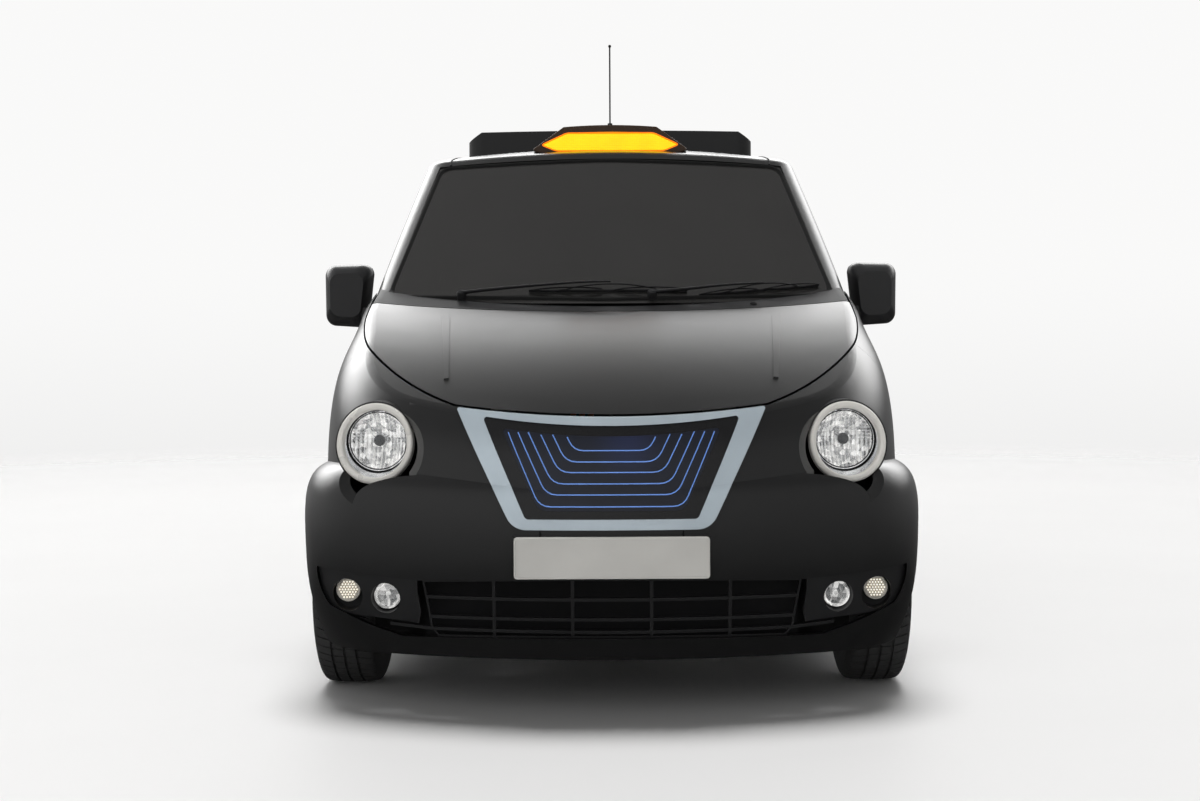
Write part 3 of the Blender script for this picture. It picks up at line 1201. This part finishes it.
def motor_bay():
    """Inverter, reservoirs, battery, hoses and cables over the drive unit."""
    bay = Shape()
    low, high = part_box("motor")
    top = high.z
    bay.box((-0.190, at(0.560), top), (0.150, at(0.860), top + 0.055))
    for i in range(9):
        x = -0.170 + 0.038 * i
        bay.box((x - 0.004, at(0.575), top + 0.055), (x + 0.004, at(0.845), top + 0.068))
    bay.make("inverter", "root", "casting", bevel=0.003)
    tank = Shape()
    tank.turned((0.330, at(0.640), 0.700), (0, 0, 1), [(0.055, 0), (0.062, 0.010), (0.062, 0.120),
                                                       (0.048, 0.145), (0.026, 0.150),
                                                       (0.026, 0.160)], 32)
    tank.turned((-0.345, at(0.860), 0.760), (0, 0, 1), [(0.038, 0), (0.042, 0.006), (0.042, 0.070),
                                                        (0.030, 0.085), (0.022, 0.090)], 28)
    tank.make("reservoirs", "root", "clear_lens", WHITE_LENS)
    caps = Shape()
    for x, d, z, r in ((0.330, 0.640, 0.858, 0.030), (-0.345, 0.860, 0.848, 0.026)):
        caps.turned((x, at(d), z), (0, 0, 1), [(r, 0), (r, 0.018), (r - 0.003, 0.021),
                                               (0.0004, 0.022)], 24)
    caps.make("reservoir_caps", "root", "black_trim")
    store = Shape().box((0.200, at(0.760), top - 0.02), (0.400, at(0.920), top + 0.06))
    store.make("starter_battery", "root", "cabin_plastic", bevel=0.006)
    poles = Shape()
    for x in (0.235, 0.365):
        poles.turned((x, at(0.790), top + 0.060), (0, 0, 1), [(0.009, 0), (0.008, 0.014), (0.0004,
                                                                                           0.015)],
                                                                                           16)
    poles.make("battery_poles", "root", "casting", MATERIALS["alloy"])
    wires = Shape()
    for shift in (0.0, 0.026, 0.052):
        line = spaced(rounded([(-0.100 + shift, at(0.600), top + 0.030),
                               (-0.100 + shift, at(0.520), top + 0.030),
                               (-0.120 + shift, at(0.470), top - 0.06),
                               (-0.140 + shift, at(0.480), top - 0.22)],
                              0.05, closed=False), 0.02)
        wires.tube(line, 0.0085, 10)
    wires.make("power_cables", "root", "black_trim", ORANGE_CABLE)
    hose = Shape()
    for s in (-1, 1):
        line = spaced(rounded([(s * 0.300, at(0.205), 0.420), (s * 0.300, at(0.330), 0.440),
                               (s * 0.270, at(0.420), 0.560), (s * 0.200, at(0.505), 0.600)], 0.08,
                              closed=False), 0.02)
        hose.tube(line, 0.016, 12)
    hose.make("coolant_hoses", "root", "black_trim", RUBBER)
    dress("radiator", finish("radiator_core", (0.006, 0.006, 0.007), 0.2, 0.6))
    half = [(0.590, 0.216), (0.590, 0.370), (0.430, 0.430), (0.430, 0.665)]     # clear of the tyres
    outline = half + [(-x, distance) for x, distance in reversed(half)]
    tray = Shape().prism([(x, at(distance), TRAY_HEIGHT) for x, distance in outline],
                         (0, 0, TRAY_THICK))
    for i in range(6):
        x = -0.375 + 0.150 * i
        tray.box((x - 0.010, at(0.240), 0.2055), (x + 0.010, at(0.640), 0.211))
    for side in (-1, 1):
        ends = sorted((side * 0.475, side * 0.675))
        tray.box((ends[0], at(0.331), 0.207), (ends[1], at(0.334), 0.440))
    tray.make("undertray", "root", "black_trim", RUBBER, bevel=0.001)


def front_springs():
    """Coil springs and dampers in place of the plain struts."""

    def strut(x, height):
        return Vector((x, at(FRONT_AXLE), height))

    form = Shape()
    form.tube([strut(*STRUT_FOOT), strut(*STRUT_TOP)], 0.018, 20)
    start, end = strut(*SPRING_FOOT), strut(*SPRING_TOP)
    along = (end - start).normalized()
    sideways, up, _ = axes_of(along)
    turns, steps = 5.0, 28
    coil = []
    for i in range(int(turns * steps) + 1):
        a = 2 * pi * i / steps
        coil.append(start.lerp(end,
                               i / (turns * steps)) + (sideways * cos(a) + up * sin(a)) * 0.046)
    form.tube(coil, 0.0062, 8)
    for spot, thick in ((start, -0.006), (end, 0.006)):
        form.turned(spot, along, [(0.020, 0), (0.054, 0), (0.054, thick), (0.020, thick)], 32,
                    mark=1)
    pair(form, "front_spring", "root", "steel", MATERIALS["steel"], MATERIALS["casting"],
         replaces=(("front_struts",), ("front_struts",)))


def underside():
    """Ribs and bolts of the battery tray."""
    low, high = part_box("battery_pack")
    ribs = Shape()
    count = 11
    for i in range(count):
        y = low.y + 0.06 + (high.y - low.y - 0.12) * i / (count - 1)
        ribs.box((low.x + 0.03, y - 0.012, low.z - 0.004),
                 (high.x - 0.03, y + 0.012, low.z + 0.003))
    ribs.make("battery_ribs", "root", "hard_cover", bevel=0.002)
    bolts = Shape()
    for i in range(12):
        y = low.y + 0.03 + (high.y - low.y - 0.06) * i / 11
        for x in (low.x + 0.015, high.x - 0.015):
            bolts.turned((x, y, low.z), (0, 0, -1), [(0.008, -0.001), (0.008, 0.005), (0.0004,
                                                                                       0.0055)], 6)
    bolts.make("battery_bolts", "root", "steel")


def antenna_base():
    """Round rubber foot of the aerial."""
    low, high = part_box("antenna")
    x, y = (low.x + high.x) / 2, (low.y + high.y) / 2
    Shape().turned((x, y, low.z + 0.001), (0, 0, 1), [(0.022, 0), (0.021, 0.006), (0.014, 0.016),
                                                     (0.008, 0.030), (0.0005, 0.031)], 32).make(
        "antenna_foot", "root", "black_trim", RUBBER)


# ---------------------------------------------------------------- make everything
grille_lines()
plate_piece("front_plate_face", "front_plate", "root", "plate_white", -1)
plate_piece("rear_plate_face", "rear_plate", "tailgate", "plate_yellow", 1)
headlamps()
pod_lamps()
for wheel, (side, axle) in WHEELS.items():
    tyre(wheel, side, axle)
    wheel_details(wheel, side, axle)
    brakes(wheel, side, axle)
wipers()
seams()
window_seals()
tail_details()
body_trim()
roof_sign()
door_cards()
seat("driver_seat", -0.370, 1.560, 0.500, 0.480, 0.315, 0.480, (-0.370,), (-0.500, -0.240),
     "driver_seat")
seat("rear_seat", 0.0, 3.060, 1.100, 0.460, 0.449, 0.560, (-0.360, 0.0, 0.360), (-0.183, 0.183),
     "rear_seats")
cabin()
motor_bay()
front_springs()
underside()
antenna_base()

# ---------------------------------------------------------------- studio
PHOTO_WIDTH, PHOTO_HEIGHT = 1200, 801
FOCAL = 1625                    # pixels
HORIZON, CENTRE = 356, 611      # pixel row of the horizon and column of the centre line
CAMERA_AHEAD, CAMERA_HEIGHT = 4.3, 1.0
CAMERA_ROLL = 0.25              # degrees
SENSOR = 36.0


def add_camera():
    """Camera ahead of the nose, looking straight back along the car."""
    data = bpy.data.cameras.new("camera")
    data.sensor_width = SENSOR
    data.lens = FOCAL * SENSOR / PHOTO_WIDTH
    data.shift_x = (PHOTO_WIDTH / 2 - CENTRE) / PHOTO_WIDTH
    data.shift_y = (HORIZON - PHOTO_HEIGHT / 2) / PHOTO_WIDTH
    data.clip_end = 200
    camera = bpy.data.objects.new("camera", data)
    camera.location = (0, FRONT - CAMERA_AHEAD, CAMERA_HEIGHT)
    camera.rotation_euler = (radians(90), radians(CAMERA_ROLL), 0)
    bpy.context.scene.collection.objects.link(camera)
    bpy.context.scene.camera = camera


def add_sun(name, place, target, power, spread):
    """Sun that lights the car without showing in its gloss."""
    data = bpy.data.lights.new(name, "SUN")
    data.energy, data.angle = power, radians(spread)
    lamp = bpy.data.objects.new(name, data)
    lamp.location = place
    lamp.rotation_euler = (Vector(target) - Vector(place)).to_track_quat("-Z", "Y").to_euler()
    lamp.visible_glossy = False
    bpy.context.scene.collection.objects.link(lamp)


def add_floor():
    """Pale floor, round the car on every side."""
    mesh = bpy.data.meshes.new("floor")
    made = bmesh.new()
    bmesh.ops.create_circle(made, cap_ends=True, radius=14, segments=96)
    made.to_mesh(mesh)
    floor = bpy.data.objects.new("floor", mesh)
    bpy.context.scene.collection.objects.link(floor)
    material, out, node, link = shader("studio_floor", Roughness=0.6)
    broad, place = object_noise(node, link, 0.8, 5.0)
    tinted(node, link, broad, out, (0.86, 0.855, 0.85), (0.90, 0.895, 0.89))
    away = node("ShaderNodeVectorMath")
    away.operation = "LENGTH"
    link(place.outputs["Object"], away.inputs[0])
    link(fading(node, link, away.outputs["Value"], 5.0, 13.0, 1.0, 0.0), out.inputs["Alpha"])
    mesh.materials.append(material)
    floor.visible_glossy = False


BACK_LIGHT, BAND_LIGHT, SIDE_LIGHT = 0.24, 4.6, 0.36
TOP_LIGHT, FRONT_LIGHT, LOW_LIGHT = 0.17, 0.34, 0.03
LEAN = 1.15, 0.75                # how much stronger the room is on its left than on its right


def add_world():
    """Pale room: bright behind the car and low down, dim above it and dark ahead of it."""
    world = bpy.data.worlds.new("studio")
    world.use_nodes = True
    tree = world.node_tree
    node, link = node_maker(tree), tree.links.new

    def mapped(value, *ranges):
        return fading(node, link, value, *ranges)

    def mixed(factor, a, b):
        made = node("ShaderNodeMix")
        link(factor, made.inputs["Factor"])
        for key, value in (("A", a), ("B", b)):
            if isinstance(value, float):
                made.inputs[key].default_value = value
            else:
                link(value, made.inputs[key])
        return made.outputs["Result"]

    place = node("ShaderNodeTexCoord")
    parts = node("ShaderNodeSeparateXYZ")
    link(place.outputs["Generated"], parts.inputs["Vector"])
    band = mixed(mapped(parts.outputs["Z"], 0.12, 0.50, 0.0, 1.0), BACK_LIGHT, BAND_LIGHT)
    behind = mixed(mapped(parts.outputs["Y"], 0.15, 0.75, 0.0, 1.0), SIDE_LIGHT, band)
    ahead = mixed(mapped(parts.outputs["Y"], -0.75, -0.15, 0.0, 1.0), FRONT_LIGHT, behind)
    above = mixed(mapped(parts.outputs["Z"], 0.46, 0.74, 0.0, 1.0), ahead, TOP_LIGHT)
    room = mixed(mapped(parts.outputs["Z"], -0.22, 0.02, 0.0, 1.0), LOW_LIGHT, above)
    seen = node("ShaderNodeLightPath")
    shown = mapped(parts.outputs["Z"], -0.10, 0.06, 0.86, 0.95)
    leaning = node("ShaderNodeMath")
    leaning.operation = "MULTIPLY"
    link(room, leaning.inputs[0])
    link(mapped(parts.outputs["X"], -0.8, 0.8, *LEAN), leaning.inputs[1])
    level = mixed(seen.outputs["Is Camera Ray"], leaning.outputs["Value"], shown)
    background = tree.nodes["Background"]
    background.inputs["Color"].default_value = (1, 0.998, 0.994, 1)
    link(level, background.inputs["Strength"])
    bpy.context.scene.world = world
    world.cycles_visibility.diffuse = False


bpy.context.scene.view_settings.view_transform = "Standard"
add_camera()
add_floor()
add_world()
add_sun("overhead", (0, 0.5, 8), (0, 0, 0), 2.30, 30)
add_sun("soak", (0, 0, 8), (0, 0, 0), 0.50, 180)
add_sun("fill", (-2, -8, 1.6), (0, 0, 0.4), 0.9, 70)

bpy.context.view_layer.update()
